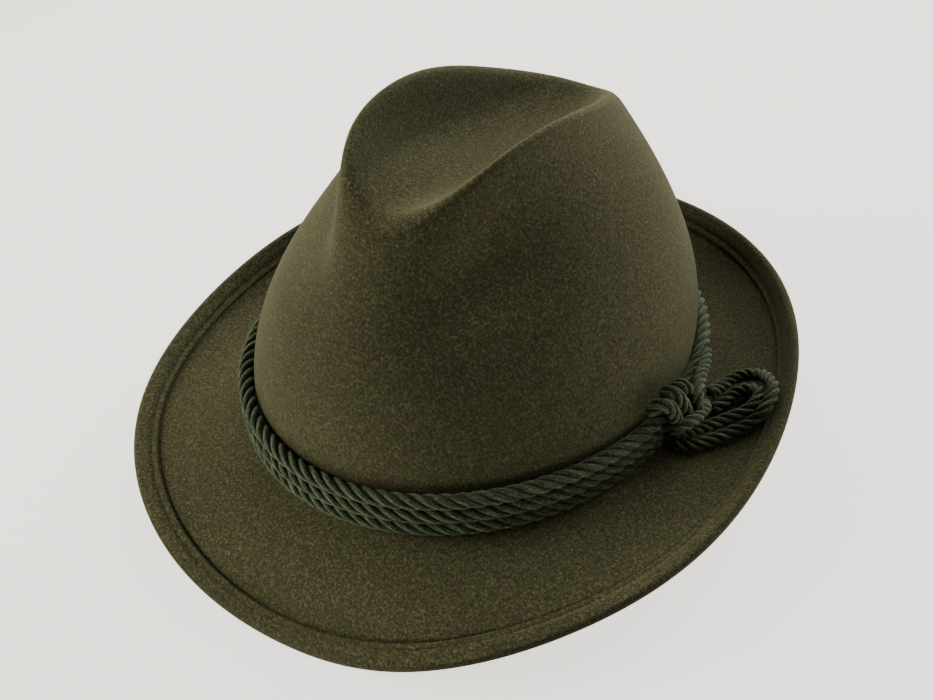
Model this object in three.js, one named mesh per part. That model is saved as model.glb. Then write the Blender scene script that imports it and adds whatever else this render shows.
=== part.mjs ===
// Felt hat with a teardrop crown, a folded brim edge and three rounds of twisted cord.
// Millimetres, +Z up. The front of the hat faces -Y and the wearer's left side faces +X.
// The hat is drawn on the level oval where crown and brim meet, then leaned back until it rests
// on the front edge of the brim and on the brim's belly at the back.

import * as THREE from 'three';

// The oval at the crown's foot
const FOOT_LENGTH = 198.4;
const FOOT_WIDTH = 165.8;
const FOOT_FRONT_SWELL = 0.09; // share by which the front half is wider
const FOOT_DIP = 2.5; // the foot is this much lower at front and back, and higher at the sides

// The felt and the folded edge of the brim
const FELT = 2;
const FOLD_WIDTH = 10.7; // from the brim's edge to the raw edge of the fold
const FOLD_STEP = 0.3; // slope of the raw edge, across the brim
const BRIM_BEND = 1.5; // how the slope grows from the foot to the edge: 1 is an even bend

// The ridge round the teardrop dent, seen from above
const RIDGE_CENTRE_Y = 13;
const RIDGE_LENGTH = 160;
const RIDGE_WIDTH = 68.6;
const RIDGE_FRONT_SWELL = 0.22;

// The floor of the dent slopes down towards the back
const DENT_CENTRE = { y: 15, z: 103 };
const DENT_FALL = 0.17;
const DENT_STEEPNESS = 3.6;

// Roundings, as the length of felt that each takes on both sides of its corner
const FOOT_ROUND = 4;
const RIDGE_ROUND = 9;

// Brim from front (0 degrees) to back (180), the same on both sides. width is along the felt,
// start and end are its slopes in degrees at the foot and at the edge, up is positive.
const BRIM = [
  { angle: 0, width: 59.7, start: -27, end: -71 },
  { angle: 30, width: 58.3, start: -19.5, end: -35.5 },
  { angle: 60, width: 55.8, start: -18, end: 6.5 },
  { angle: 90, width: 53.7, start: -15.5, end: 38 },
  { angle: 120, width: 54.4, start: -4.5, end: 57 },
  { angle: 150, width: 54.4, start: -0.5, end: 56 },
  { angle: 180, width: 54.8, start: 1, end: 48.5 },
];

// Crown from front to back. belly and shoulder are how far the wall stands outside the foot's
// oval at one and two thirds of its height. ridgeLeft and ridgeRight are the ridge's height over
// the foot on the wearer's left and right.
const CROWN = [
  { angle: 0, belly: 0.3, shoulder: -14.5, ridgeLeft: 113, ridgeRight: 113 },
  { angle: 30, belly: -1.9, shoulder: -20, ridgeLeft: 122.3, ridgeRight: 126.3 },
  { angle: 60, belly: -3.2, shoulder: -26.5, ridgeLeft: 136.4, ridgeRight: 136.4 },
  { angle: 90, belly: 1.5, shoulder: -21, ridgeLeft: 134.6, ridgeRight: 134.6 },
  { angle: 120, belly: 6, shoulder: -9, ridgeLeft: 120.5, ridgeRight: 120.5 },
  { angle: 150, belly: 4.9, shoulder: -2.4, ridgeLeft: 106, ridgeRight: 106 },
  { angle: 180, belly: 2.7, shoulder: -1.3, ridgeLeft: 99.5, ridgeRight: 99.5 },
];

// Dents pressed into the crown's wall, with their place, their reach and their depth.
// height and rise are shares of the wall's height.
const PINCHES = [
  { angle: 45.5, height: 0.7, spread: 24.5, rise: 0.15, depth: 9 },
  { angle: -45.5, height: 0.7, spread: 24.5, rise: 0.15, depth: 9 },
];

// The twisted cord
const CORD_RADIUS = 3.3;
const CORD_PITCH = 6.9; // from one round up to the next
const GAP = 0.3; // clearance between pieces that touch

// The knot on the wearer's left, outside the rounds: its place round the foot and its size
const KNOT = { angle: 90, rise: 18.5, reach: 10, length: 25, height: 14 };

// Routes of the two free loops of the knot, one inside the other, from under the knot out over
// the brim and back to the knot's side. angle is round the foot in degrees, distance is along the
// brim's felt and lift is the clearance over the felt.
const LOOP_RADIUS = 2.7;
const LOOPS = {
  loop_outer: [
    { angle: 88.3, distance: 11.4, lift: 1 },
    { angle: 89.7, distance: 17, lift: 0.9 },
    { angle: 91.7, distance: 21.5, lift: 0.9 },
    { angle: 93.9, distance: 25.8, lift: 0.9 },
    { angle: 95.8, distance: 30.5, lift: 0.9 },
    { angle: 97.5, distance: 35.5, lift: 0.9 },
    { angle: 98.9, distance: 40.7, lift: 1.6 },
    { angle: 100.6, distance: 45.1, lift: 2.8 },
    { angle: 103, distance: 47.3, lift: 2.9 },
    { angle: 105.6, distance: 46.9, lift: 2.9 },
    { angle: 108, distance: 44, lift: 2.8 },
    { angle: 110.5, distance: 40.1, lift: 1.9 },
    { angle: 112.4, distance: 34.8, lift: 1.2 },
    { angle: 113, distance: 28.3, lift: 1.2 },
    { angle: 111.8, distance: 23.4, lift: 1.5 },
    { angle: 109.7, distance: 20.7, lift: 2.2 },
    { angle: 107.4, distance: 18.4, lift: 3.8 },
    { angle: 104.5, distance: 16.8, lift: 5.7 },
  ],
  loop_inner: [
    { angle: 88.2, distance: 10.3, lift: 7.5 },
    { angle: 90.9, distance: 13.7, lift: 5.4 },
    { angle: 93.2, distance: 16.8, lift: 3.9 },
    { angle: 95, distance: 19.8, lift: 3.3 },
    { angle: 96.5, distance: 22.9, lift: 3.2 },
    { angle: 97.9, distance: 26.5, lift: 3.3 },
    { angle: 99.2, distance: 30.8, lift: 3.4 },
    { angle: 100.7, distance: 35.3, lift: 3.3 },
    { angle: 102.7, distance: 39.1, lift: 3 },
    { angle: 105.4, distance: 39.4, lift: 2.4 },
    { angle: 107.4, distance: 35.3, lift: 2 },
    { angle: 107.9, distance: 29.4, lift: 1.5 },
    { angle: 106.8, distance: 24.6, lift: 0.9 },
    { angle: 104.5, distance: 21.7, lift: 0.9 },
    { angle: 102.3, distance: 18.5, lift: 0.9 },
  ],
};

// The most that the hat could lean back, in degrees
const MOST_LEAN = 25;

// Steps of the faceted skin: round the hat, and along each part of its profile
const AROUND = 56;
const STEPS = { brim: 7, corner: 4, wall: 9, dent: 6, fold: 4 };
const CORD_STEPS = 60;
const CORD_SIDES = 8;
const LOOP_STEPS = 30;
const BRIM_SUMS = 24; // short straight pieces that the brim's bend is summed from

const UP = new THREE.Vector3(0, 0, 1);
const ACROSS = new THREE.Vector3(1, 0, 0);
const radians = THREE.MathUtils.degToRad;

// Smooth value between the rows of a table from front to back, as a cosine series through them
function series(rows, column) {
  const last = rows.length - 1;
  const terms = rows.map((_, k) => {
    let sum = 0;
    rows.forEach((row, j) => {
      const share = j === 0 || j === last ? 0.5 : 1;
      sum += share * row[column] * Math.cos((Math.PI * j * k) / last);
    });
    return (sum * (k === 0 || k === last ? 1 : 2)) / last;
  });
  return (t) => terms.reduce((total, term, k) => total + term * Math.cos(k * t), 0);
}

const brimWidth = series(BRIM, 'width');
const brimStart = series(BRIM, 'start');
const brimEnd = series(BRIM, 'end');
const wallBelly = series(CROWN, 'belly');
const wallShoulder = series(CROWN, 'shoulder');
const ridgeLeft = series(CROWN, 'ridgeLeft');
const ridgeRight = series(CROWN, 'ridgeRight');
const ridgeHeight = (t) => (Math.sin(t) > 0 ? ridgeLeft(t) : ridgeRight(t));

function foot(t) {
  const x = (FOOT_WIDTH / 2) * Math.sin(t) * (1 + FOOT_FRONT_SWELL * Math.cos(t));
  return new THREE.Vector3(x, (-FOOT_LENGTH / 2) * Math.cos(t), -FOOT_DIP * Math.cos(2 * t));
}

// Level direction straight out of the foot's oval
function outward(t) {
  const alongX = (FOOT_WIDTH / 2) * (Math.cos(t) + FOOT_FRONT_SWELL * Math.cos(2 * t));
  const alongY = (FOOT_LENGTH / 2) * Math.sin(t);
  return new THREE.Vector3(alongY, -alongX, 0).normalize();
}

function ridge(t) {
  const x = (RIDGE_WIDTH / 2) * Math.sin(t) * (1 + RIDGE_FRONT_SWELL * Math.cos(t));
  const y = RIDGE_CENTRE_Y - (RIDGE_LENGTH / 2) * Math.cos(t);
  return new THREE.Vector3(x, y, ridgeHeight(t));
}

// Depth of the pressed dents at an angle and a share of the wall's height
function pinch(t, share) {
  return PINCHES.reduce((depth, row) => {
    const turn = Math.atan2(Math.sin(t - radians(row.angle)), Math.cos(t - radians(row.angle)));
    const across = Math.exp(-((turn / radians(row.spread)) ** 2));
    return depth + row.depth * across * Math.exp(-(((share - row.height) / row.rise) ** 2));
  }, 0);
}

// The crown's wall, from the foot at share 0 to the ridge at share 1
function wall(t, share) {
  const start = foot(t);
  const end = ridge(t);
  const out = outward(t);
  const aside = new THREE.Vector3(-out.y, out.x, 0);
  const drift = end.clone().sub(start).dot(aside);
  const rise = end.z - start.z;
  const knot = (offset, at) => {
    const point = start.clone().addScaledVector(out, offset).addScaledVector(aside, drift * at);
    point.z = start.z + rise * at;
    return point;
  };
  const knots = [start, knot(wallBelly(t), 1 / 3), knot(wallShoulder(t), 2 / 3), end];
  const point = new THREE.Vector3();
  knots.forEach((value, i) => {
    let weight = 1;
    knots.forEach((_, j) => {
      if (j !== i) weight *= (share * 3 - j) / (i - j);
    });
    point.addScaledVector(value, weight);
  });
  return point.addScaledVector(out, -pinch(t, share));
}

// The dent inside the ridge, from the ridge at share 0 to the middle of its floor at share 1
function dent(t, share) {
  const floor = (y) => DENT_CENTRE.z - DENT_FALL * (y - DENT_CENTRE.y);
  const edge = ridge(t);
  const middle = new THREE.Vector3(0, DENT_CENTRE.y, 0);
  const point = edge.clone().lerp(middle, share);
  point.z = floor(point.y) + (edge.z - floor(edge.y)) * (1 - share) ** DENT_STEEPNESS;
  return point;
}

function brimSlope(t, distance) {
  const share = Math.min(1, distance / brimWidth(t)) ** BRIM_BEND;
  return radians(brimStart(t) + (brimEnd(t) - brimStart(t)) * share);
}

// The brim's upper side, a distance along the felt from the foot
function brim(t, distance) {
  const step = distance / BRIM_SUMS;
  const point = foot(t);
  const out = outward(t);
  for (let i = 0; i < BRIM_SUMS; i += 1) {
    const slope = brimSlope(t, (i + 0.5) * step);
    point.addScaledVector(out, Math.cos(slope) * step).addScaledVector(UP, Math.sin(slope) * step);
  }
  return point;
}

// Points that round off a corner between two places on the skin
function rounded(before, corner, after) {
  const bend = new THREE.QuadraticBezierCurve3(before, corner, after);
  return bend.getPoints(STEPS.corner);
}

function spread(from, to, steps, place) {
  const points = [];
  for (let i = 1; i < steps; i += 1) points.push(place(from + ((to - from) * i) / steps));
  return points;
}

// The hat's upper side at one angle, from the middle of the dent out to the fold of the edge
function profile(t) {
  const height = ridgeHeight(t) - foot(t).z;
  const dentShare = RIDGE_ROUND / ridge(t).distanceTo(dent(t, 1));
  const wallShare = 1 - RIDGE_ROUND / height;
  const footShare = FOOT_ROUND / height;
  const foldStart = brimWidth(t) - FOLD_WIDTH;
  return [
    ...spread(1, dentShare, STEPS.dent, (share) => dent(t, share)),
    ...rounded(dent(t, dentShare), ridge(t), wall(t, wallShare)),
    ...spread(wallShare, footShare, STEPS.wall, (share) => wall(t, share)),
    ...rounded(wall(t, footShare), foot(t), brim(t, FOOT_ROUND)),
    ...spread(FOOT_ROUND, foldStart, STEPS.brim, (distance) => brim(t, distance)),
    brim(t, foldStart),
    brim(t, foldStart + FOLD_STEP),
    brim(t, brimWidth(t) - FELT),
  ];
}

// Unit normals of a skin given as rings from the middle outwards
function skinNormals(rings) {
  return rings.map((ring, j) => ring.map((_, i) => {
    const inner = rings[Math.max(0, j - 1)][i];
    const outer = rings[Math.min(rings.length - 1, j + 1)][i];
    const next = ring[(i + 1) % ring.length];
    const previous = ring[(i + ring.length - 1) % ring.length];
    return outer.clone().sub(inner).cross(next.clone().sub(previous)).normalize();
  }));
}

function offsetRing(ring, normals, distance) {
  return ring.map((point, i) => point.clone().addScaledVector(normals[i], distance));
}

// A closed body lofted through rings, with a single point at each end
function loft(first, rings, last) {
  const around = rings[0].length;
  const points = [first, ...rings.flat(), last];
  const faces = [];
  const at = (j, i) => 1 + j * around + (i % around);
  for (let i = 0; i < around; i += 1) {
    faces.push(0, at(0, i), at(0, i + 1));
    faces.push(points.length - 1, at(rings.length - 1, i + 1), at(rings.length - 1, i));
    for (let j = 0; j + 1 < rings.length; j += 1) {
      faces.push(at(j, i), at(j + 1, i), at(j + 1, i + 1));
      faces.push(at(j, i), at(j + 1, i + 1), at(j, i + 1));
    }
  }
  const geometry = new THREE.BufferGeometry().setFromPoints(points);
  geometry.setIndex(faces);
  geometry.computeVertexNormals();
  return geometry;
}

function feltGeometry() {
  const profiles = Array.from({ length: AROUND }, (_, i) => profile((i / AROUND) * Math.PI * 2));
  const rings = profiles[0].map((_, j) => profiles.map((points) => points[j]));
  const normals = skinNormals(rings);
  const edge = rings.length - 1;
  const raised = (j) => j >= edge - 1;
  const upper = rings.map((ring, j) => offsetRing(ring, normals[j], raised(j) ? FELT : 0));
  const fold = [];
  for (let i = 1; i < STEPS.fold; i += 1) {
    const turn = (Math.PI * i) / STEPS.fold;
    fold.push(rings[edge].map((point, k) => {
      const normal = normals[edge][k];
      const away = point.clone().sub(rings[edge - 1][k]).normalize();
      return point.clone().addScaledVector(normal, FELT * Math.cos(turn))
        .addScaledVector(away, FELT * Math.sin(turn));
    }));
  }
  const under = rings.map((ring, j) => offsetRing(ring, normals[j], -FELT)).reverse();
  const middle = dent(0, 1);
  return loft(middle, [...upper, ...fold, ...under], middle.clone().addScaledVector(UP, -FELT));
}

// Centre line of one round of cord, level by level against the crown's wall
class CordRound extends THREE.Curve {
  constructor(level) {
    super();
    this.level = level;
  }

  getPoint(u, target = new THREE.Vector3()) {
    const t = u * Math.PI * 2;
    const reach = CORD_RADIUS + GAP;
    const slope = radians(brimStart(t));
    const height = (reach * (1 + Math.sin(slope))) / Math.cos(slope) + this.level * CORD_PITCH;
    const place = wall(t, height / (ridgeHeight(t) - foot(t).z));
    return target.copy(place).addScaledVector(outward(t), reach);
  }
}

function cordRoundGeometry(level) {
  return new THREE.TubeGeometry(new CordRound(level), CORD_STEPS, CORD_RADIUS, CORD_SIDES, true);
}

// The knot as one rounded lump outside the cord rounds
function knotGeometry() {
  const geometry = new THREE.SphereGeometry(1, 14, 10);
  return geometry.scale(KNOT.reach / 2, KNOT.length / 2, KNOT.height / 2);
}

function placeKnot(mesh) {
  const t = radians(KNOT.angle);
  const out = outward(t);
  const reach = 2 * CORD_RADIUS + GAP / 2 + KNOT.reach / 2;
  mesh.position.copy(wall(t, KNOT.rise / ridgeHeight(t))).addScaledVector(out, reach);
  mesh.position.z = foot(t).z + KNOT.rise;
  mesh.rotation.z = Math.atan2(out.y, out.x);
}

// A free loop, a plain tube along its hand-laid route over the brim
function loopGeometry(rows) {
  const points = rows.map((row) => {
    const t = radians(row.angle);
    const slope = brimSlope(t, row.distance);
    const lift = LOOP_RADIUS + row.lift;
    return brim(t, row.distance).addScaledVector(outward(t), -Math.sin(slope) * lift)
      .addScaledVector(UP, Math.cos(slope) * lift);
  });
  const corners = Array.from({ length: CORD_SIDES }, (_, i) => {
    const turn = (i / CORD_SIDES) * Math.PI * 2;
    return new THREE.Vector2(LOOP_RADIUS * Math.cos(turn), LOOP_RADIUS * Math.sin(turn));
  });
  const extrudePath = new THREE.CatmullRomCurve3(points);
  return new THREE.ExtrudeGeometry(new THREE.Shape(corners), { steps: LOOP_STEPS, extrudePath });
}

// The lean at which the lowest points of the front and of the back are level with each other
function restingLean(geometry) {
  const corners = geometry.attributes.position;
  const point = new THREE.Vector3();
  const lowest = (lean, side) => {
    let low = Infinity;
    for (let i = 0; i < corners.count; i += 1) {
      point.fromBufferAttribute(corners, i);
      const inHalf = point.y * side > 0;
      point.applyAxisAngle(ACROSS, -lean);
      if (inHalf) low = Math.min(low, point.z);
    }
    return low;
  };
  let least = 0;
  let most = radians(MOST_LEAN);
  for (let i = 0; i < 30; i += 1) {
    const lean = (least + most) / 2;
    if (lowest(lean, -1) < lowest(lean, 1)) least = lean;
    else most = lean;
  }
  return (least + most) / 2;
}

const FELT_LOOK = { color: 0x5f5a3c, roughness: 0.95, metalness: 0 };
const CORD_LOOK = { color: 0x2f3a2a, roughness: 0.85, metalness: 0 };

const hat = new THREE.Group();

function addPiece(name, geometry, look) {
  const mesh = new THREE.Mesh(geometry, new THREE.MeshStandardMaterial(look));
  mesh.name = name;
  hat.add(mesh);
  return mesh;
}

const felt = addPiece('felt_body', feltGeometry(), FELT_LOOK);
addPiece('cord_lower', cordRoundGeometry(0), CORD_LOOK);
addPiece('cord_middle', cordRoundGeometry(1), CORD_LOOK);
addPiece('cord_upper', cordRoundGeometry(2), CORD_LOOK);
placeKnot(addPiece('knot', knotGeometry(), CORD_LOOK));
addPiece('loop_outer', loopGeometry(LOOPS.loop_outer), CORD_LOOK);
addPiece('loop_inner', loopGeometry(LOOPS.loop_inner), CORD_LOOK);

// Leaned back onto its resting points, with the origin under the middle of the brim
hat.rotation.x = -restingLean(felt.geometry);
hat.updateMatrixWorld(true);
const box = new THREE.Box3().setFromObject(felt, true);
const middle = box.getCenter(new THREE.Vector3());
hat.position.set(-middle.x, -middle.y, -box.min.z);

export default hat;
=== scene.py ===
# Felt hat with a teardrop crown and rounds of twisted cord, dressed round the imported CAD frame.
# The hat is drawn in millimetres on the level oval where crown and brim meet, with the front
# towards -Y and the wearer's left towards +X, and is then leaned back into the row frame.

import math

import bpy
import numpy as np
from mathutils import Matrix, Vector


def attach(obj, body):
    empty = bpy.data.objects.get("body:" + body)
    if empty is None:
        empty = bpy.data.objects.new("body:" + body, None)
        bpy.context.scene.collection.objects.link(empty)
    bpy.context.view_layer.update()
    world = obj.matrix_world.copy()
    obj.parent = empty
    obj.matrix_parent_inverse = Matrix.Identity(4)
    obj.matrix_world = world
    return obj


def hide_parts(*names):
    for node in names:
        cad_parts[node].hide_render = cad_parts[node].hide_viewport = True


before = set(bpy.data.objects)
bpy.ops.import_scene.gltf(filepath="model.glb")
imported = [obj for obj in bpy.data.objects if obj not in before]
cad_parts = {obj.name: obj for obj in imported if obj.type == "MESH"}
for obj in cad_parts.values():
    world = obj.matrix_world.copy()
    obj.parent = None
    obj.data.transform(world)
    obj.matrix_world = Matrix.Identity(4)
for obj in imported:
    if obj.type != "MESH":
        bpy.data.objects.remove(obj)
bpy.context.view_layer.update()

MM = 0.001

# How the hat rests: leaned back about X and shifted onto the floor, as in the CAD
LEAN = math.radians(-8.91)
SHIFT = np.array([0.0, -1.754, 21.198])

# The sizes of the foot, the fold, the ridge, the brim, the crown and the pinches are the rounded
# result of a least-squares fit to the photograph. So is the camera, but for its azimuth and
# distance, which were picked from several such fits. The heights of the ridge and the
# steepness of the dent were changed after it.

# The oval at the crown's foot
FOOT_LENGTH = 198.4
FOOT_WIDTH = 165.8
FOOT_FRONT_SWELL = 0.09
FOOT_DIP = 2.5
FOOT_ROUND = 4.0

# The felt and the fold along the brim's edge
FELT = 2.0
FOLD_WIDTH = 10.7
BRIM_BEND = 1.5

# Reach from the fold's raw edge of the stretch that the stitching presses flat, and its stitches
PRESSED = {"reach": 4.0, "steepness": 4}
STITCHES = {"reach": 2.7, "depth": 0.35, "width": 0.5}

# Across the groove beside the fold's raw edge and up over that edge
RAW_EDGE = [
    {"reach": -0.9, "height": 0.0},
    {"reach": -0.54, "height": -0.33},
    {"reach": -0.225, "height": -0.55},
    {"reach": 0.0, "height": -0.495},
    {"reach": 0.05, "height": 0.36},
    {"reach": 0.12, "height": 0.9},
    {"reach": 0.4, "height": 1.2},
]

# The ridge round the teardrop dent, seen from above
RIDGE_CENTRE_Y = 13.0
RIDGE_LENGTH = 160.0
RIDGE_WIDTH = 68.6
RIDGE_FRONT_SWELL = 0.22
RIDGE_ROUND = 9.0

# The dent: its middle, how its floor falls to the back, and how steep its sides are
DENT_CENTRE = {"y": 15.0, "z": 103.0}
DENT_FALL = 0.17
DENT_STEEPNESS = 3.6
DENT_INNERMOST = 0.985  # share of the way to the middle where the smallest ring lies

# Brim from front (0 degrees) to back (180): width along the felt, slopes at foot and edge
BRIM = [
    {"angle": 0, "width": 59.7, "start": -27, "end": -71},
    {"angle": 30, "width": 58.3, "start": -19.5, "end": -35.5},
    {"angle": 60, "width": 55.8, "start": -18, "end": 6.5},
    {"angle": 90, "width": 53.7, "start": -15.5, "end": 38},
    {"angle": 120, "width": 54.4, "start": -4.5, "end": 57},
    {"angle": 150, "width": 54.4, "start": -0.5, "end": 56},
    {"angle": 180, "width": 54.8, "start": 1, "end": 48.5},
]

# Crown from front to back: offsets at one and two thirds of the height, and the ridge's height
# on each side of the hat
CROWN = [
    {"angle": 0, "belly": 0.3, "shoulder": -14.5, "ridge_left": 113, "ridge_right": 113},
    {"angle": 30, "belly": -1.9, "shoulder": -20, "ridge_left": 122.3, "ridge_right": 126.3},
    {"angle": 60, "belly": -3.2, "shoulder": -26.5, "ridge_left": 136.4, "ridge_right": 136.4},
    {"angle": 90, "belly": 1.5, "shoulder": -21, "ridge_left": 134.6, "ridge_right": 134.6},
    {"angle": 120, "belly": 6, "shoulder": -9, "ridge_left": 120.5, "ridge_right": 120.5},
    {"angle": 150, "belly": 4.9, "shoulder": -2.4, "ridge_left": 106, "ridge_right": 106},
    {"angle": 180, "belly": 2.7, "shoulder": -1.3, "ridge_left": 99.5, "ridge_right": 99.5},
]

# Dents pressed into the crown's wall, height and rise as shares of the wall's height
PINCHES = [
    {"angle": 45.5, "height": 0.7, "spread": 24.5, "rise": 0.15, "depth": 9},
    {"angle": -45.5, "height": 0.7, "spread": 24.5, "rise": 0.15, "depth": 9},
]

# The twisted cord
CORD_RADIUS = 3.3
CORD_PITCH = 6.9
GAP = 0.3  # between a cord and the felt
STRANDS = 4
STRAND_LAY = 26.0  # length of cord in which a strand goes round once
STRAND_RELIEF = 0.95  # 1 for strands that stay round, less where they press flat
LAY_SHORTENING = 1 / 12  # so that the yarns' pattern is drawn out along the cord

# The three rounds from the lowest: how far their strands are turned at the back
ROUNDS = [
    {"name": "cord_round_lower", "turned": 0.0},
    {"name": "cord_round_middle", "turned": 1.1},
    {"name": "cord_round_upper", "turned": 0.4},
]

# Near the knot the rounds stand further out and higher, for each round from the lowest
FLARE = {"angle": 84.0, "spread": 9.0, "out": [3.0, 1.5, 0.3], "up": [0.0, 0.8, 2.2]}

# The two free loops
LOOP_RADIUS = 2.7
LOOP_LAY = 19.0  # the knot's lengths have it too
LOOP_FULLNESS = 1.05  # how far the strands stand out, over the plain tube
LOOP_TURNED = 0.7

# Their routes: angle round the foot, distance along the felt and clearance over it. The points
# were traced in the photograph, and a least-squares fit then moved them, to ease the bends and
# to keep the loops apart.
LOOPS = {
    "outer": [
        {"angle": 88.3, "distance": 11.4, "lift": 1},
        {"angle": 89.7, "distance": 17, "lift": 0.9},
        {"angle": 91.7, "distance": 21.5, "lift": 0.9},
        {"angle": 93.9, "distance": 25.8, "lift": 0.9},
        {"angle": 95.8, "distance": 30.5, "lift": 0.9},
        {"angle": 97.5, "distance": 35.5, "lift": 0.9},
        {"angle": 98.9, "distance": 40.7, "lift": 1.6},
        {"angle": 100.6, "distance": 45.1, "lift": 2.8},
        {"angle": 103, "distance": 47.3, "lift": 2.9},
        {"angle": 105.6, "distance": 46.9, "lift": 2.9},
        {"angle": 108, "distance": 44, "lift": 2.8},
        {"angle": 110.5, "distance": 40.1, "lift": 1.9},
        {"angle": 112.4, "distance": 34.8, "lift": 1.2},
        {"angle": 113, "distance": 28.3, "lift": 1.2},
        {"angle": 111.8, "distance": 23.4, "lift": 1.5},
        {"angle": 109.7, "distance": 20.7, "lift": 2.2},
        {"angle": 107.4, "distance": 18.4, "lift": 3.8},
        {"angle": 104.5, "distance": 16.8, "lift": 5.7},
    ],
    "inner": [
        {"angle": 88.2, "distance": 10.3, "lift": 7.5},
        {"angle": 90.9, "distance": 13.7, "lift": 5.4},
        {"angle": 93.2, "distance": 16.8, "lift": 3.9},
        {"angle": 95, "distance": 19.8, "lift": 3.3},
        {"angle": 96.5, "distance": 22.9, "lift": 3.2},
        {"angle": 97.9, "distance": 26.5, "lift": 3.3},
        {"angle": 99.2, "distance": 30.8, "lift": 3.4},
        {"angle": 100.7, "distance": 35.3, "lift": 3.3},
        {"angle": 102.7, "distance": 39.1, "lift": 3},
        {"angle": 105.4, "distance": 39.4, "lift": 2.4},
        {"angle": 107.4, "distance": 35.3, "lift": 2},
        {"angle": 107.9, "distance": 29.4, "lift": 1.5},
        {"angle": 106.8, "distance": 24.6, "lift": 0.9},
        {"angle": 104.5, "distance": 21.7, "lift": 0.9},
        {"angle": 102.3, "distance": 18.5, "lift": 0.9},
    ],
}

# The knot's lengths of cord: angle round the foot, out from the foot's oval and up over it. Most
# angles and heights were worked out from points chosen in the photograph, the rest given one by
# one.
KNOT_TURNED_APART = 0.8
KNOT_ROPES = [
    {
        "radius": 2.9,
        "route": [
            {"angle": 79.6, "out": 8.9, "up": 26.6},
            {"angle": 80.6, "out": 11.0, "up": 28.8},
            {"angle": 81.7, "out": 13.2, "up": 28.8},
            {"angle": 82.8, "out": 14.7, "up": 26.4},
            {"angle": 84.3, "out": 15.0, "up": 21.4},
            {"angle": 86.4, "out": 14.2, "up": 14.6},
            {"angle": 89.4, "out": 12.4, "up": 7.0},
            {"angle": 91.5, "out": 9.6, "up": 2.8},
        ],
    },
    {
        "radius": 2.9,
        "route": [
            {"angle": 84.8, "out": 8.9, "up": 28.8},
            {"angle": 85.5, "out": 11.2, "up": 29.9},
            {"angle": 86.4, "out": 13.4, "up": 27.8},
            {"angle": 87.4, "out": 15.0, "up": 23.7},
            {"angle": 88.7, "out": 15.6, "up": 18.1},
            {"angle": 90.4, "out": 15.0, "up": 11.2},
            {"angle": 92.4, "out": 13.0, "up": 5.0},
            {"angle": 94.0, "out": 10.2, "up": 2.4},
        ],
    },
    {
        "radius": 2.6,
        "route": [
            {"angle": 89.6, "out": 8.9, "up": 26.4},
            {"angle": 90.8, "out": 11.0, "up": 26.9},
            {"angle": 91.6, "out": 13.2, "up": 24.9},
            {"angle": 92.5, "out": 13.8, "up": 21.0},
            {"angle": 93.5, "out": 12.8, "up": 16.0},
            {"angle": 94.5, "out": 10.8, "up": 10.0},
        ],
    },
    {
        "radius": 2.7,
        "route": [
            {"angle": 111.0, "out": 11.6, "up": 18.0},
            {"angle": 107.5, "out": 12.3, "up": 18.6},
            {"angle": 104.2, "out": 12.9, "up": 19.4},
            {"angle": 99.0, "out": 14.0, "up": 21.6},
            {"angle": 94.8, "out": 15.6, "up": 22.5},
            {"angle": 92.4, "out": 17.0, "up": 21.6},
            {"angle": 91.6, "out": 17.8, "up": 18.5},
            {"angle": 92.4, "out": 17.4, "up": 12.8},
            {"angle": 94.5, "out": 15.4, "up": 7.0},
            {"angle": 96.5, "out": 12.6, "up": 4.0},
        ],
    },
    {
        "radius": 2.8,
        "route": [
            {"angle": 102.4, "out": 14.6, "up": 3.4},
            {"angle": 98.2, "out": 16.9, "up": 7.6},
            {"angle": 94.8, "out": 18.6, "up": 11.9},
            {"angle": 90.4, "out": 19.6, "up": 15.0},
            {"angle": 87.0, "out": 19.2, "up": 16.4},
            {"angle": 85.1, "out": 17.2, "up": 16.2},
            {"angle": 84.6, "out": 14.2, "up": 14.0},
        ],
    },
]

# Columns round the felt and rows along its profile, outside and inside
AROUND = 360
OUTER_ROWS = {"brim": 36, "corner": 9, "wall": 52, "dent": 30, "band": 24}
INNER_ROWS = {"brim": 14, "corner": 5, "wall": 20, "dent": 10, "band": 2}
FOLD_ROWS = 9
BRIM_SUMS = 24  # steps in which the brim's slope is added up

# Rings along a cord and points round it
ROUND_MESH = {"rings": 620, "sides": 42}
LOOP_MESH = {"rings": 120, "sides": 30}
KNOT_MESH = {"rings": 80, "sides": 30}
CURVE_STEPS = 24  # between two points of a route
ACROSS_START = (0.2, 0.3, 1.0)  # towards the first point round a free length of cord

# The dome on a free end: its rings in degrees, and how far it stands out, in radii of the cord
CAP = {"rings": (40, 70), "dome": 0.5, "tip": 0.55}

# Point attributes that the materials read
LAY_NAME = "lay"
FOLD_EDGE_SHADE_NAME = "fold_edge_shade"

# Painted shade on the outside of the fold's turn, round one place of the front
FOLD_EDGE_SHADE = {"angle": 35.0, "narrowness": 3.0, "sharpness": 1.1, "darkness": 0.78}

# Painted light on felt that faces up and painted shade on felt that faces down, by the upward part
# of its normal
FACING_LIGHT_AND_SHADE = {
    "above": {"From Min": 0.6, "From Max": 0.86, "To Min": 0.95, "To Max": 1.5},
    "below": {"From Min": -0.5, "From Max": 0.1, "To Min": 0.45, "To Max": 1.0},
}

# Painted shade on the brim behind the crown, where it is also low
BACK_BRIM_SHADE = {
    "behind": {"From Min": -0.02, "From Max": 0.06},
    "low": {"From Min": 0.075, "From Max": 0.045},
    "darkness": 0.36,
}

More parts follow.
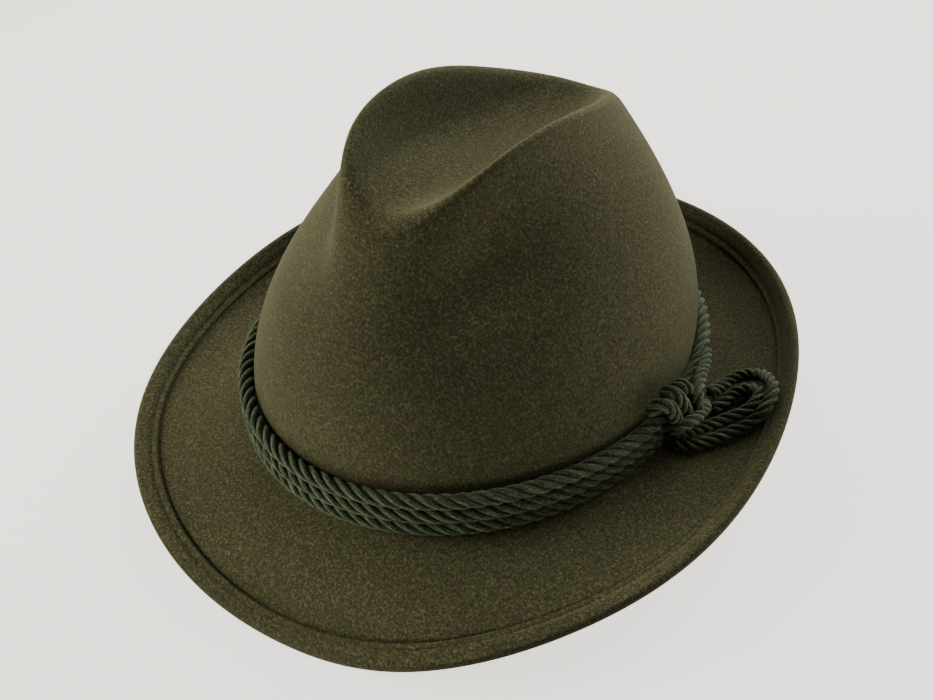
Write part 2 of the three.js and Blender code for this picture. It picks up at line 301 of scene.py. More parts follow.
# Colours are the display's, from 0 to 255, and tones lie along the noise that picks them
FELT_LOOK = {
    "grain": {"scale": 900.0, "detail": 3.0, "roughness": 0.75},
    "tones": [
        (0.33, (23, 23, 13)),
        (0.46, (46, 45, 29)),
        (0.54, (66, 64, 43)),
        (0.67, (108, 106, 75)),
    ],
    "patches": {"scale": 160.0, "detail": 4.0, "roughness": 0.65},
    "patch_tones": [(0.35, (64, 56, 40)), (0.5, (58, 57, 38)), (0.66, (64, 66, 34))],
    "patch_share": 0.35,
    "fibres": {"scale": 700.0, "width": 0.03},
    "fibre_colour": (122, 114, 84),
    "fibre_share": 0.4,
    "fibre_height": 0.5,
    "bump": {"strength": 0.55, "distance": 0.0005},
    "sheen": (190, 186, 128),
}
CORD_LOOK = {
    "yarns": {"scale": 2.6, "detail": 2.0, "roughness": 0.6},
    "yarn_share": 0.55,
    "grain": {"scale": 1300.0, "detail": 2.0, "roughness": 0.7},
    "grain_share": 0.45,
    "tones": [(0.36, (22, 27, 17)), (0.5, (50, 58, 40)), (0.64, (114, 124, 92))],
    # Painted shade in the grooves between the strands
    "groove": {"From Min": 0.66 * CORD_RADIUS, "From Max": 0.95 * CORD_RADIUS, "To Min": 0.42},
    "bump": {"strength": 0.7, "distance": 0.0006},
    "sheen": (164, 181, 141),
}
BLACK = (0.0, 0.0, 0.0)

FLOOR_HALF = 6.0
FLOOR_COLOUR = (226, 223, 215)

# The floor is lit from below round the hat, like a light table, and less further out
GLOW = {"From Min": 0.36, "From Max": 0.7, "To Min": 2.0, "To Max": 0.15}
GLOW_COLOUR = (240, 237, 229)

# The camera as fitted to the photograph, about the hat's own origin
CAMERA = {"azimuth": 34.0, "elevation": 35.89, "roll": -1.61, "distance": 850.0}
PIXELS_PER_MM = 2.35
PHOTO = {"width": 933, "height": 700}
PHOTO_CENTRE = {"x": 480.8, "y": 375.62}
SENSOR_WIDTH = 36.0
CLIP_START = 0.01

# Studio lights: where each stands round the hat from the camera, turning to the picture's right,
# and its height over the horizon in degrees. The powers were guided by a fit to the lightness of
# places on the photograph's hat, then set one by one.
LIGHT_SIZE = 1.8
LIGHT_DISTANCE = 2.4
AIM_HEIGHT = 0.05
WHITE = (1.0, 1.0, 1.0)
WARM = (1.0, 0.99, 0.89)
LIGHTS = [
    {"name": "key_left", "around": 270, "height": 18, "power": 70.0, "colour": WARM},
    {"name": "back", "around": 180, "height": 18, "power": 34.0, "colour": WARM},
    {"name": "back_right", "around": 135, "height": 18, "power": 36.0, "colour": WHITE},
    {"name": "high_back", "around": 120, "height": 50, "power": 17.0, "colour": WHITE},
    {"name": "side_right", "around": 80, "height": 18, "power": 6.0, "colour": WHITE},
    {"name": "front_right", "around": 45, "height": 18, "power": 3.5, "colour": WHITE},
]
SURROUNDINGS = {"colour": (238, 238, 240), "strength": 0.02}


def lean_matrix():
    c, s = math.cos(LEAN), math.sin(LEAN)
    return np.array([[1, 0, 0], [0, c, -s], [0, s, c]])


def to_row(points):
    """Points of the hat in millimetres, in the row frame in metres."""
    return (np.asarray(points) @ lean_matrix().T + SHIFT) * MM


def series(rows, column):
    """Smooth value between a table's rows from front to back, as a cosine series."""
    values = np.array([row[column] for row in rows], dtype=float)
    last = len(values) - 1
    ends = np.ones(last + 1)
    ends[[0, last]] = 0.5
    k = np.arange(last + 1)
    terms = (np.cos(np.pi * np.outer(k, k) / last) * ends) @ values * 2 / last
    terms[[0, last]] *= 0.5
    return lambda t: sum(term * np.cos(i * t) for i, term in enumerate(terms))


brim_width = series(BRIM, "width")
brim_start = series(BRIM, "start")
brim_end = series(BRIM, "end")
wall_belly = series(CROWN, "belly")
wall_shoulder = series(CROWN, "shoulder")
ridge_left = series(CROWN, "ridge_left")
ridge_right = series(CROWN, "ridge_right")


def stack(x, y, z):
    return np.stack(np.broadcast_arrays(x, y, z), axis=-1).astype(float)


def unit(vectors):
    return vectors / np.linalg.norm(vectors, axis=-1, keepdims=True)


def tangents(line):
    return unit(np.gradient(line, axis=0))


def lengths_along(line):
    return np.concatenate([[0], np.cumsum(np.linalg.norm(np.diff(line, axis=0), axis=-1))])


def bell(value, middle, spread):
    """1 at the middle, falling smoothly to 0 on both sides."""
    return np.exp(-(((value - middle) / spread) ** 2))


def ridge_height(t):
    return np.where(np.sin(t) > 0, ridge_left(t), ridge_right(t))


def foot(t):
    x = FOOT_WIDTH / 2 * np.sin(t) * (1 + FOOT_FRONT_SWELL * np.cos(t))
    return stack(x, -FOOT_LENGTH / 2 * np.cos(t), -FOOT_DIP * np.cos(2 * t))


def outward(t):
    along_x = FOOT_WIDTH / 2 * (np.cos(t) + FOOT_FRONT_SWELL * np.cos(2 * t))
    along_y = FOOT_LENGTH / 2 * np.sin(t)
    size = np.hypot(along_x, along_y)
    return stack(along_y / size, -along_x / size, 0 * t)


def ridge(t):
    x = RIDGE_WIDTH / 2 * np.sin(t) * (1 + RIDGE_FRONT_SWELL * np.cos(t))
    return stack(x, RIDGE_CENTRE_Y - RIDGE_LENGTH / 2 * np.cos(t), ridge_height(t))


def pinch(t, share):
    depth = 0.0
    for row in PINCHES:
        turn = t - math.radians(row["angle"])
        turn = np.arctan2(np.sin(turn), np.cos(turn))
        across = bell(turn, 0.0, math.radians(row["spread"]))
        depth = depth + row["depth"] * across * bell(share, row["height"], row["rise"])
    return depth


def wall(t, share):
    """The crown's wall, from the foot at share 0 to the ridge at share 1."""
    start, end, out = foot(t), ridge(t), outward(t)
    share = np.broadcast_to(share, t.shape)[..., None]
    aside = stack(-out[..., 1], out[..., 0], 0)
    drift = ((end - start) * aside).sum(-1, keepdims=True)
    rise = (end - start)[..., 2:]
    up = np.array([0.0, 0.0, 1.0])

    def between(offset, at):
        return start + out * offset[..., None] + aside * drift * at + up * rise * at

    knots = [start, between(wall_belly(t), 1 / 3), between(wall_shoulder(t), 2 / 3), end]
    last = len(knots) - 1
    point = 0.0
    for i, value in enumerate(knots):
        weight = 1.0
        for j in range(len(knots)):
            if j != i:
                weight = weight * (share * last - j) / (i - j)
        point = point + value * weight
    return point - out * pinch(t, share[..., 0])[..., None]


def dent(t, share):
    """The dent inside the ridge, from the ridge at share 0 to its middle at share 1."""
    edge = ridge(t)
    middle = np.array([0.0, DENT_CENTRE["y"], 0.0])
    share = np.broadcast_to(share, t.shape)[..., None]
    point = edge * (1 - share) + middle * share

    def floor_height(y):
        return DENT_CENTRE["z"] - DENT_FALL * (y - DENT_CENTRE["y"])

    side = (1 - share[..., 0]) ** DENT_STEEPNESS
    edge_height = edge[..., 2] - floor_height(edge[..., 1])
    point[..., 2] = floor_height(point[..., 1]) + edge_height * side
    return point


def brim_slope(t, distance):
    share = np.minimum(1, distance / brim_width(t)) ** BRIM_BEND
    return np.radians(brim_start(t) + (brim_end(t) - brim_start(t)) * share)


def brim(t, distance):
    """The brim's upper side, a distance along the felt from the foot."""
    distance = np.broadcast_to(distance, t.shape)
    run = 0.0
    rise = 0.0
    for i in range(BRIM_SUMS):
        slope = brim_slope(t, distance * (i + 0.5) / BRIM_SUMS)
        run = run + np.cos(slope) * distance / BRIM_SUMS
        rise = rise + np.sin(slope) * distance / BRIM_SUMS
    return foot(t) + outward(t) * run[..., None] + stack(0, 0, rise)


def bezier(a, b, c, count):
    """Points of a quadratic curve, ends included."""
    return [a * (1 - u) ** 2 + b * 2 * u * (1 - u) + c * u * u for u in np.linspace(0, 1, count)]


def fold_profile(band_rows):
    """Reach from the fold's raw edge and height over the brim, across groove, edge and fold."""
    places = [(row["reach"], row["height"]) for row in RAW_EDGE]
    start, edge_height = places[-1]
    for u in np.linspace(0, 1, band_rows + 1)[1:]:
        reach = start + (FOLD_WIDTH - FELT - start) * u
        swell = 1 - math.exp(-((reach / PRESSED["reach"]) ** PRESSED["steepness"]))
        seam = STITCHES["depth"] * bell(reach, STITCHES["reach"], STITCHES["width"])
        places.append((reach, edge_height + (FELT - edge_height) * swell - seam))
    return places


def profile(t, rows):
    """Rings of the hat's upper side from the dent's middle to the folded edge."""
    height = (ridge(t) - foot(t))[..., 2]
    dent_share = RIDGE_ROUND / np.linalg.norm(ridge(t) - dent(t, 1.0), axis=-1)
    wall_share = 1 - RIDGE_ROUND / height
    foot_share = FOOT_ROUND / height
    fold_start = brim_width(t) - FOLD_WIDTH
    brim_reach = fold_start + RAW_EDGE[0]["reach"] - FOOT_ROUND
    rings = []
    for u in np.linspace(0, 1, rows["dent"] + 1)[:-1]:
        rings.append(dent(t, DENT_INNERMOST + (dent_share - DENT_INNERMOST) * u))
    rings += bezier(dent(t, dent_share), ridge(t), wall(t, wall_share), rows["corner"])
    for u in np.linspace(0, 1, rows["wall"] + 1)[1:-1]:
        rings.append(wall(t, wall_share + (foot_share - wall_share) * u))
    rings += bezier(wall(t, foot_share), foot(t), brim(t, FOOT_ROUND), rows["corner"])
    for u in np.linspace(0, 1, rows["brim"] + 1)[1:-1]:
        rings.append(brim(t, FOOT_ROUND + brim_reach * u))
    lifts = [0.0] * len(rings)
    for reach, lift in fold_profile(rows["band"]):
        rings.append(brim(t, fold_start + reach))
        lifts.append(lift)
    return np.array(rings), np.array(lifts)


def ring_normals(rings):
    inner = np.concatenate([rings[:1], rings[:-1]])
    outer = np.concatenate([rings[1:], rings[-1:]])
    along = np.roll(rings, -1, axis=1) - np.roll(rings, 1, axis=1)
    return unit(np.cross(outer - inner, along))


def new_object(name, points, faces):
    """A smooth mesh in the scene."""
    mesh = bpy.data.meshes.new(name)
    mesh.from_pydata(points.tolist(), [], faces)
    mesh.validate()
    mesh.polygons.foreach_set("use_smooth", [True] * len(mesh.polygons))
    mesh.update()
    made = bpy.data.objects.new(name, mesh)
    bpy.context.scene.collection.objects.link(made)
    return made


def set_attribute(piece, name, kind, field, values):
    """Give each point of a piece the value or vector that its material reads."""
    attribute = piece.data.attributes.new(name, kind, "POINT")
    attribute.data.foreach_set(field, np.asarray(values, dtype=np.float32).ravel())


def grid_faces(rows, columns, closed_rows=False):
    """Four-sided faces of a grid of points that closes on itself along its columns."""
    row_count = rows if closed_rows else rows - 1
    j, i = np.meshgrid(np.arange(row_count), np.arange(columns), indexing="ij")
    up, right = (j + 1) % rows, (i + 1) % columns
    corners = [j * columns + i, up * columns + i, up * columns + right, j * columns + right]
    return np.stack(corners, axis=-1).reshape(-1, 4).tolist()


def felt_object():
    t = np.arange(AROUND) / AROUND * 2 * math.pi
    outer, lifts = profile(t, OUTER_ROWS)
    normals = ring_normals(outer)
    upper = outer + normals * lifts[:, None, None]
    away = unit(outer[-1] - outer[-2])
    turns = np.linspace(0, math.pi, FOLD_ROWS)[1:-1]
    fold = [outer[-1] + FELT * (normals[-1] * math.cos(a) + away * math.sin(a)) for a in turns]
    inner = profile(t, INNER_ROWS)[0]
    under = (inner - ring_normals(inner) * FELT)[::-1]
    rings = np.concatenate([upper, np.array(fold), under])

    points = rings.reshape(-1, 3)
    faces = grid_faces(len(rings), AROUND)
    top, bottom = len(points), len(points) + 1
    middle = dent(np.zeros(1), 1.0)
    points = np.concatenate([points, middle, middle - [[0, 0, FELT]]])
    last = (len(rings) - 1) * AROUND
    for i in range(AROUND):
        right = (i + 1) % AROUND
        faces.append([top, i, right])
        faces.append([bottom, last + right, last + i])
    made = new_object("hat_felt", to_row(points), faces)

    # Painted shade on the outside of the fold's turn, round one place of the front
    fold_edge_shade = np.zeros((len(rings), AROUND))
    near = np.clip(np.cos(t - math.radians(FOLD_EDGE_SHADE["angle"])), 0, 1) ** FOLD_EDGE_SHADE["narrowness"]
    for i, a in enumerate(turns):
        outside = math.sin(min(a, math.pi / 2))
        fold_edge_shade[len(upper) + i] = near * outside ** FOLD_EDGE_SHADE["sharpness"]
    set_attribute(made, FOLD_EDGE_SHADE_NAME, "FLOAT", "value", np.append(fold_edge_shade, [0.0, 0.0]))
    return made


def rope_section(angle):
    """Distance of a cord's surface from its middle: the outline of the strands laid together."""
    step = 2 * math.pi / STRANDS
    centre = 1 / (1 + math.sin(step / 2))
    strand = 1 - centre
    away = np.abs((angle + step / 2) % step - step / 2)
    rest = np.maximum(strand**2 - (centre * np.sin(away)) ** 2, 0)
    outline = centre * np.cos(away) + np.sqrt(rest)
    return 1 - STRAND_RELIEF * (1 - outline)


def section_angles(sides):
    return np.arange(sides) / sides * 2 * math.pi


def rope_points(line, across, radius, turn, sides):
    """Rings round a line of points: a row for each point. turn is the twist at each point."""
    tangent = tangents(line)
    first = unit(across - tangent * (across * tangent).sum(-1, keepdims=True))
    second = np.cross(tangent, first)
    angle = section_angles(sides)
    reach = radius * rope_section(angle)
    turned = angle[None, :] + turn[:, None]
    return (
        line[:, None, :]
        + first[:, None, :] * (np.cos(turned) * reach)[..., None]
        + second[:, None, :] * (np.sin(turned) * reach)[..., None]
    )


def lay_places(along, sides):
    """Place of each point in the lay: round the cord, and along it at a twelfth of its length.

    The place is nearer to the cord's middle in the grooves between the strands.
    """
    angle = section_angles(sides)
    reach = CORD_RADIUS * rope_section(angle)
    around = stack(reach * np.cos(angle), reach * np.sin(angle), 0)
    return around[None, :, :] + stack(0, 0, along * LAY_SHORTENING)[:, None, :]


def cord_object(name, points, faces, laid):
    made = new_object(name, to_row(points), faces)
    set_attribute(made, LAY_NAME, "FLOAT_VECTOR", "vector", laid)
    return made


def round_line(level, t):
    """The middle of a round of cord, lying on the brim or the round below and on the crown."""
    reach = CORD_RADIUS + GAP
    slope = np.radians(brim_start(t))
    height = reach * (1 + np.sin(slope)) / np.cos(slope) + level * CORD_PITCH
    near_knot = bell(np.degrees(t), FLARE["angle"], FLARE["spread"])
    reach = reach + FLARE["out"][level] * near_knot
    height = height + FLARE["up"][level] * near_knot
    return wall(t, height / (ridge(t) - foot(t))[..., 2]) + outward(t) * reach[..., None]


def round_object(level):
    """A closed round of cord, from the back and round to the back again."""
    rings, sides = ROUND_MESH["rings"], ROUND_MESH["sides"]
    t = (0.5 + np.arange(rings + 1) / rings) * 2 * math.pi
    line = round_line(level, t)
    along = lengths_along(line)
    turns = round(along[-1] / STRAND_LAY)
    turn = along / along[-1] * turns * 2 * math.pi + ROUNDS[level]["turned"]

    def overlapped(values):
        return np.concatenate([values[-2:-1], values, values[1:2]])

    facing = overlapped(outward(t))
    points = rope_points(overlapped(line), facing, CORD_RADIUS, overlapped(turn), sides)[1:-2]
    faces = [face[::-1] for face in grid_faces(rings, sides, closed_rows=True)]
    laid = lay_places(along[:-1], sides)
    return cord_object(ROUNDS[level]["name"], points.reshape(-1, 3), faces, laid)


def smooth_line(points, count):
    """Catmull-Rom curve through points, at even steps along it."""
    padded = np.concatenate([[2 * points[0] - points[1]], points, [2 * points[-1] - points[-2]]])
    fine = []
    for i in range(len(points) - 1):
        a, b, c, d = padded[i : i + 4]
        for u in np.linspace(0, 1, CURVE_STEPS, endpoint=False):
            bend = (c - a) * u + (2 * a - 5 * b + 4 * c - d) * u**2
            fine.append(0.5 * (2 * b + bend + (3 * b - a - 3 * c + d) * u**3))
    fine = np.array(fine + [points[-1]])
    along = lengths_along(fine)
    even = np.linspace(0, along[-1], count)
    return np.stack([np.interp(even, along, fine[:, k]) for k in range(3)], axis=-1)


def carried_across(line, start):
    """A direction across the line, carried along it without twist."""
    current = np.asarray(start, dtype=float)
    result = []
    for direction in tangents(line):
        current = current - direction * (current @ direction)
        current /= np.linalg.norm(current)
        result.append(current.copy())
    return np.array(result)


def rope_cap(ring, end, before, radius):
    """Rings and tip of the dome that closes a cord's end."""
    away = unit(end - before)
    rings = [
        end + away * radius * CAP["dome"] * math.sin(a) + (ring - end) * math.cos(a)
        for a in map(math.radians, CAP["rings"])
    ]
    return rings, end + away * radius * CAP["tip"]


def rope_mesh(line, radius, turned, sides):
    """Points and faces of one free length of cord with domed ends."""
    along = lengths_along(line)
    turn = along / LOOP_LAY * 2 * math.pi + turned
    rings = rope_points(line, carried_across(line, ACROSS_START), radius, turn, sides)
    first_rings, first_tip = rope_cap(rings[0], line[0], line[1], radius)
    last_rings, last_tip = rope_cap(rings[-1], line[-1], line[-2], radius)
    rings = np.concatenate([first_rings[::-1], rings, last_rings])
    laid = lay_places(np.pad(along, len(CAP["rings"]), mode="edge"), sides).reshape(-1, 3)
    points = rings.reshape(-1, 3)
    faces = [face[::-1] for face in grid_faces(len(rings), sides)]
    first, last = len(points), len(points) + 1
    points = np.concatenate([points, [first_tip], [last_tip]])
    laid = np.concatenate([laid, laid[:1], laid[-1:]])
    tail = (len(rings) - 1) * sides
    for i in range(sides):
        right = (i + 1) % sides
        faces.append([first, right, i])
        faces.append([last, tail + i, tail + right])
    return points, faces, laid


def joined_object(name, parts):
    points, faces, laid, start = [], [], [], 0
    for part_points, part_faces, part_laid in parts:
        points.append(part_points)
        laid.append(part_laid)
        faces += [[index + start for index in face] for face in part_faces]
        start += len(part_points)
    return cord_object(name, np.concatenate(points), faces, np.concatenate(laid))


def loop_line(rows):
    route = []
    for row in rows:
        t = np.array([math.radians(row["angle"])])
        slope = brim_slope(t, row["distance"])[0]
        lift = LOOP_RADIUS + row["lift"]
        point = brim(t, row["distance"])[0] - outward(t)[0] * math.sin(slope) * lift
        point[2] += math.cos(slope) * lift
        route.append(point)
    return smooth_line(np.array(route), LOOP_MESH["rings"])


def loop_object(name, line):
    part = rope_mesh(line, LOOP_RADIUS * LOOP_FULLNESS, LOOP_TURNED, LOOP_MESH["sides"])
    return joined_object(f"cord_loop_{name}", [part])


def knot_object():
    parts = []
    for i, rope in enumerate(KNOT_ROPES):
        angle, out, up = (
            np.array([row[key] for row in rope["route"]]) for key in ("angle", "out", "up")
        )
        t = np.radians(angle)
        route = foot(t) + outward(t) * out[:, None] + stack(0 * t, 0, up)
        line = smooth_line(route, KNOT_MESH["rings"])
        parts.append(rope_mesh(line, rope["radius"], i * KNOT_TURNED_APART, KNOT_MESH["sides"]))
    return joined_object("cord_knot", parts)


def srgb(r, g, b):
    """Linear colour of one of the display's, given from 0 to 255."""

    def linear(value):
        value /= 255
        return value / 12.92 if value <= 0.04045 else ((value + 0.055) / 1.055) ** 2.4

    return (linear(r), linear(g), linear(b))


def set_inputs(node, values):
    """Set a node's own inputs by name."""
    for name, value in values.items():
        node.inputs[name].default_value = value


def material(name):
    made = bpy.data.materials.new(name)
    made.use_nodes = True
    nodes = made.node_tree.nodes
    nodes.clear()
    output = nodes.new("ShaderNodeOutputMaterial")
    shader = nodes.new("ShaderNodeBsdfPrincipled")
    made.node_tree.links.new(shader.outputs["BSDF"], output.inputs["Surface"])
    return made, made.node_tree, shader


def noise(tree, vector, scale, detail, roughness=0.5, distortion=0.0):
    node = tree.nodes.new("ShaderNodeTexNoise")
    set_inputs(node, {"Scale": scale, "Detail": detail})
    set_inputs(node, {"Roughness": roughness, "Distortion": distortion})
    tree.links.new(vector, node.inputs["Vector"])
    return node.outputs["Fac"]


def ramp(tree, source, tones):
    """Colour between tones, by the value of source."""
    node = tree.nodes.new("ShaderNodeValToRGB")
    elements = node.color_ramp.elements
    while len(elements) < len(tones):
        elements.new(0.5)
    for element, (at, colour) in zip(elements, tones):
        element.position = at
        element.color = (*srgb(*colour), 1.0)
    tree.links.new(source, node.inputs["Fac"])
    return node.outputs["Color"]


def mix(tree, factor, a, b):
    """A colour from a at factor 0 to b at factor 1, each a value or a socket."""
    node = tree.nodes.new("ShaderNodeMix")
    node.data_type = "RGBA"
    colours_in = [socket for socket in node.inputs if socket.type == "RGBA"]
    colour_out = next(socket for socket in node.outputs if socket.type == "RGBA")
    if isinstance(factor, float):
        node.inputs["Factor"].default_value = factor
    else:
        tree.links.new(factor, node.inputs["Factor"])
    for socket, value in zip(colours_in, (a, b)):
        if isinstance(value, tuple):
            socket.default_value = (*value, 1.0)
        else:
            tree.links.new(value, socket)
    return colour_out


def maths(tree, operation, *values):
    node = tree.nodes.new("ShaderNodeMath")
    node.operation = operation
    for socket, value in zip(node.inputs, values):
        if isinstance(value, (int, float)):
            socket.default_value = value
        else:
            tree.links.new(value, socket)
    return node.outputs["Value"]


def map_range(tree, value, spans, smooth=True):
    """The value carried from one span to the other, smoothly or in proportion."""
    node = tree.nodes.new("ShaderNodeMapRange")
    if smooth:
        node.interpolation_type = "SMOOTHSTEP"
    set_inputs(node, spans)
    tree.links.new(value, node.inputs["Value"])
    return node.outputs["Result"]


def bump(tree, height, strength, distance):
    node = tree.nodes.new("ShaderNodeBump")
    set_inputs(node, {"Strength": strength, "Distance": distance})
    tree.links.new(height, node.inputs["Height"])
    return node.outputs["Normal"]


def split(tree, vector):
    """X, Y and Z of a vector, by name."""
    node = tree.nodes.new("ShaderNodeSeparateXYZ")
    tree.links.new(vector, node.inputs[0])
    return node.outputs


def point_attribute(tree, name):
    node = tree.nodes.new("ShaderNodeAttribute")
    node.attribute_name = name
    return node


def place_on_object(tree):
    return tree.nodes.new("ShaderNodeTexCoord").outputs["Object"]


def fibres(tree, vector, scale, width):
    """Thin wandering lines, 1 on a fibre and 0 off it."""
    value = noise(tree, vector, scale, detail=1.0, distortion=1.6)
    off = maths(tree, "ABSOLUTE", maths(tree, "SUBTRACT", value, 0.5))
    off = maths(tree, "MINIMUM", maths(tree, "DIVIDE", off, width), 1.0)
    return maths(tree, "SUBTRACT", 1.0, off)


def painted_light_and_shade(tree):
    """Painted light and shade on the felt, where the lamps don't give it: lighter facing up,
    darker facing down, on the brim behind the crown and round the fold's edge.
    """
    # Painted light where the felt faces up, painted shade where it faces down
    upward = split(tree, tree.nodes.new("ShaderNodeNewGeometry").outputs["Normal"])["Z"]
    above = map_range(tree, upward, FACING_LIGHT_AND_SHADE["above"])
    below = map_range(tree, upward, FACING_LIGHT_AND_SHADE["below"], smooth=False)
    lightness = maths(tree, "MULTIPLY", above, below)

    # Painted shade on the brim behind the crown, where it is low
    place = split(tree, place_on_object(tree))
    behind = map_range(tree, place["Y"], BACK_BRIM_SHADE["behind"])
    low = map_range(tree, place["Z"], BACK_BRIM_SHADE["low"])
    shaded = maths(tree, "MULTIPLY", maths(tree, "MULTIPLY", behind, low), BACK_BRIM_SHADE["darkness"])
    # Painted shade on the outside of the fold's turn
    fold_edge_shade = point_attribute(tree, FOLD_EDGE_SHADE_NAME).outputs["Fac"]
    fold_edge_darkening = maths(tree, "MULTIPLY", fold_edge_shade, FOLD_EDGE_SHADE["darkness"])
    for darkness in (shaded, fold_edge_darkening):
        lightness = maths(tree, "MULTIPLY", lightness, maths(tree, "SUBTRACT", 1.0, darkness))
    return lightness


def felt_material():
    made, tree, shader = material("felt_olive")
    place = place_on_object(tree)
    grain = noise(tree, place, **FELT_LOOK["grain"])
    tones = ramp(tree, grain, FELT_LOOK["tones"])
    patches = ramp(tree, noise(tree, place, **FELT_LOOK["patches"]), FELT_LOOK["patch_tones"])
    colour = mix(tree, FELT_LOOK["patch_share"], tones, patches)
    light = fibres(tree, place, **FELT_LOOK["fibres"])
    light_share = maths(tree, "MULTIPLY", light, FELT_LOOK["fibre_share"])
    colour = mix(tree, light_share, colour, srgb(*FELT_LOOK["fibre_colour"]))
    # The felt's colour scaled by its painted light and shade
    painted_colour = tree.nodes.new("ShaderNodeVectorMath")
    painted_colour.operation = "SCALE"
    tree.links.new(colour, painted_colour.inputs[0])
    tree.links.new(painted_light_and_shade(tree), painted_colour.inputs["Scale"])
    tree.links.new(painted_colour.outputs["Vector"], shader.inputs["Base Color"])
    shader.inputs["Roughness"].default_value = 0.95
    shader.inputs["Specular IOR Level"].default_value = 0.15
    shader.inputs["Sheen Weight"].default_value = 0.25
    shader.inputs["Sheen Roughness"].default_value = 0.45
    shader.inputs["Sheen Tint"].default_value = (*srgb(*FELT_LOOK["sheen"]), 1.0)
    height = maths(tree, "ADD", grain, maths(tree, "MULTIPLY", light, FELT_LOOK["fibre_height"]))
    tree.links.new(bump(tree, height, **FELT_LOOK["bump"]), shader.inputs["Normal"])
    return made


def cord_material():
    made, tree, shader = material("cord_green")
    lay = point_attribute(tree, LAY_NAME).outputs["Vector"]
    yarns = noise(tree, lay, **CORD_LOOK["yarns"])
    grain = noise(tree, place_on_object(tree), **CORD_LOOK["grain"])
    height = maths(
        tree,
        "ADD",
        maths(tree, "MULTIPLY", yarns, CORD_LOOK["yarn_share"]),
        maths(tree, "MULTIPLY", grain, CORD_LOOK["grain_share"]),
    )
    tones = ramp(tree, height, CORD_LOOK["tones"])
    place = split(tree, lay)
    squares = [maths(tree, "POWER", place[axis], 2.0) for axis in ("X", "Y")]
    from_middle = maths(tree, "SQRT", maths(tree, "ADD", *squares))
    # Painted shade: the grooves between the strands are darkened towards black
    colour = mix(tree, map_range(tree, from_middle, CORD_LOOK["groove"]), BLACK, tones)
    tree.links.new(colour, shader.inputs["Base Color"])
    shader.inputs["Roughness"].default_value = 0.9
    shader.inputs["Specular IOR Level"].default_value = 0.2
    shader.inputs["Sheen Weight"].default_value = 0.55
    shader.inputs["Sheen Roughness"].default_value = 0.5
    shader.inputs["Sheen Tint"].default_value = (*srgb(*CORD_LOOK["sheen"]), 1.0)
    tree.links.new(bump(tree, height, **CORD_LOOK["bump"]), shader.inputs["Normal"])
    return made


def floor_object():
    corners = [(-1, -1), (1, -1), (1, 1), (-1, 1)]
    mesh = bpy.data.meshes.new("floor")
    points = [(x * FLOOR_HALF, y * FLOOR_HALF, 0) for x, y in corners]
    mesh.from_pydata(points, [], [(0, 1, 2, 3)])
    made = bpy.data.objects.new("floor", mesh)
    bpy.context.scene.collection.objects.link(made)
    pale, tree, shader = material("floor_pale")
    shader.inputs["Base Color"].default_value = (*srgb(*FLOOR_COLOUR), 1.0)
    shader.inputs["Roughness"].default_value = 0.9
    shader.inputs["Specular IOR Level"].default_value = 0.1
    reach = tree.nodes.new("ShaderNodeVectorMath")
    reach.operation = "LENGTH"
    tree.links.new(place_on_object(tree), reach.inputs[0])
    glow = map_range(tree, reach.outputs["Value"], GLOW)
    shader.inputs["Emission Color"].default_value = (*srgb(*GLOW_COLOUR), 1.0)
    tree.links.new(glow, shader.inputs["Emission Strength"])
    mesh.materials.append(pale)
    return made


def camera_axes():
    """The camera's right, up and back directions, in the row frame."""
    a, e, r = (math.radians(CAMERA[key]) for key in ("azimuth", "elevation", "roll"))
    back = np.array([math.sin(a) * math.cos(e), -math.cos(a) * math.cos(e), math.sin(e)])
    right = np.array([math.cos(a), math.sin(a), 0.0])
    up = np.cross(back, right)
    rolled_right = right * math.cos(r) + up * math.sin(r)
    rolled_up = up * math.cos(r) - right * math.sin(r)
    return [lean_matrix() @ axis for axis in (rolled_right, rolled_up, back)]


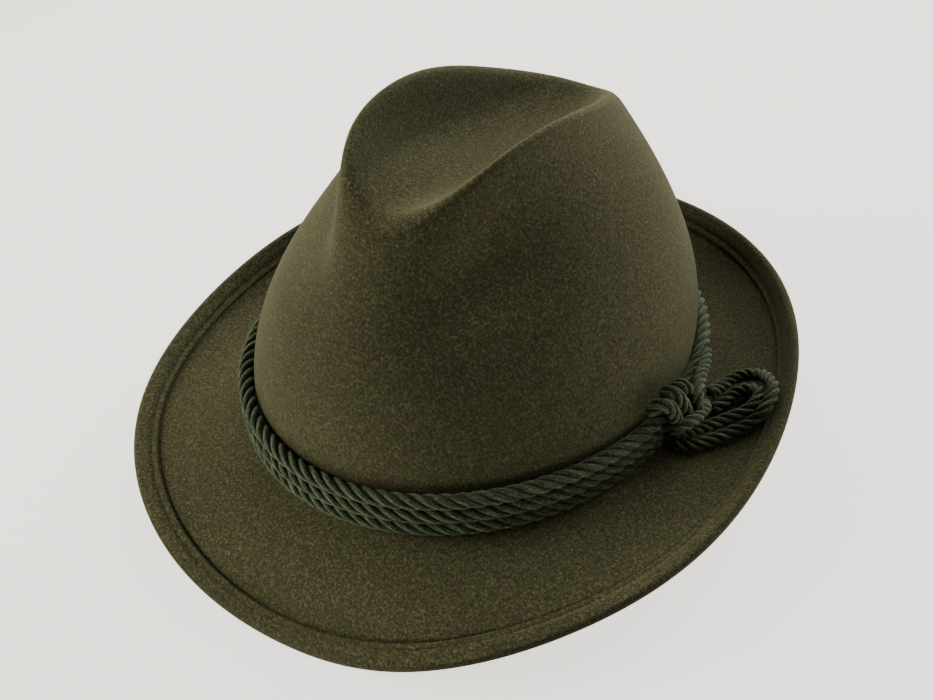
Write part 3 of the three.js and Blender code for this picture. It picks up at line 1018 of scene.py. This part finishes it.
def add_camera(right, up, back):
    data = bpy.data.cameras.new("camera")
    data.sensor_fit = "HORIZONTAL"
    data.sensor_width = SENSOR_WIDTH
    data.lens = PIXELS_PER_MM * CAMERA["distance"] / PHOTO["width"] * SENSOR_WIDTH
    data.shift_x = (PHOTO["width"] / 2 - PHOTO_CENTRE["x"]) / PHOTO["width"]
    data.shift_y = (PHOTO_CENTRE["y"] - PHOTO["height"] / 2) / PHOTO["width"]
    data.clip_start = CLIP_START
    made = bpy.data.objects.new("camera", data)
    bpy.context.scene.collection.objects.link(made)
    place = SHIFT * MM + back * CAMERA["distance"] * MM
    made.matrix_world = Matrix([*np.column_stack([right, up, back, place]).tolist(), [0, 0, 0, 1]])
    bpy.context.scene.camera = made


def add_light(row, level_right, level_back):
    data = bpy.data.lights.new(row["name"], "AREA")
    data.shape = "DISK"
    data.size = LIGHT_SIZE
    data.energy = row["power"]
    data.color = row["colour"]
    made = bpy.data.objects.new(row["name"], data)
    bpy.context.scene.collection.objects.link(made)
    around, height = math.radians(row["around"]), math.radians(row["height"])
    level = level_back * math.cos(around) + level_right * math.sin(around)
    direction = level * math.cos(height) + Vector((0, 0, math.sin(height)))
    aim = Vector((0, 0, AIM_HEIGHT))
    made.location = direction * LIGHT_DISTANCE + aim
    made.rotation_euler = (aim - made.location).to_track_quat("-Z", "Y").to_euler()


def add_world():
    world = bpy.data.worlds.new("studio")
    world.use_nodes = True
    background = world.node_tree.nodes["Background"]
    background.inputs["Color"].default_value = (*srgb(*SURROUNDINGS["colour"]), 1.0)
    background.inputs["Strength"].default_value = SURROUNDINGS["strength"]
    bpy.context.scene.world = world


felt = felt_object()
rounds = [round_object(level) for level in range(len(ROUNDS))]
loop_lines = {name: loop_line(rows) for name, rows in LOOPS.items()}
loops = {name: loop_object(name, line) for name, line in loop_lines.items()}
knot = knot_object()

felt.data.materials.append(felt_material())
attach(felt, "root")
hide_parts("felt_body")

cords = {
    "cord_lower": rounds[0],
    "cord_middle": rounds[1],
    "cord_upper": rounds[2],
    "knot": knot,
    "loop_outer": loops["outer"],
    "loop_inner": loops["inner"],
}
CORD_MATERIAL = cord_material()
for node, cord_piece in cords.items():
    cord_piece.data.materials.append(CORD_MATERIAL)
    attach(cord_piece, "root")
    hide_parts(node)

floor = floor_object()

RIGHT, UP, BACK = camera_axes()
add_camera(RIGHT, UP, BACK)
LEVEL_RIGHT, LEVEL_BACK = (Vector((x, y, 0)).normalized() for x, y, _ in (RIGHT, BACK))
for row in LIGHTS:
    add_light(row, LEVEL_RIGHT, LEVEL_BACK)
add_world()
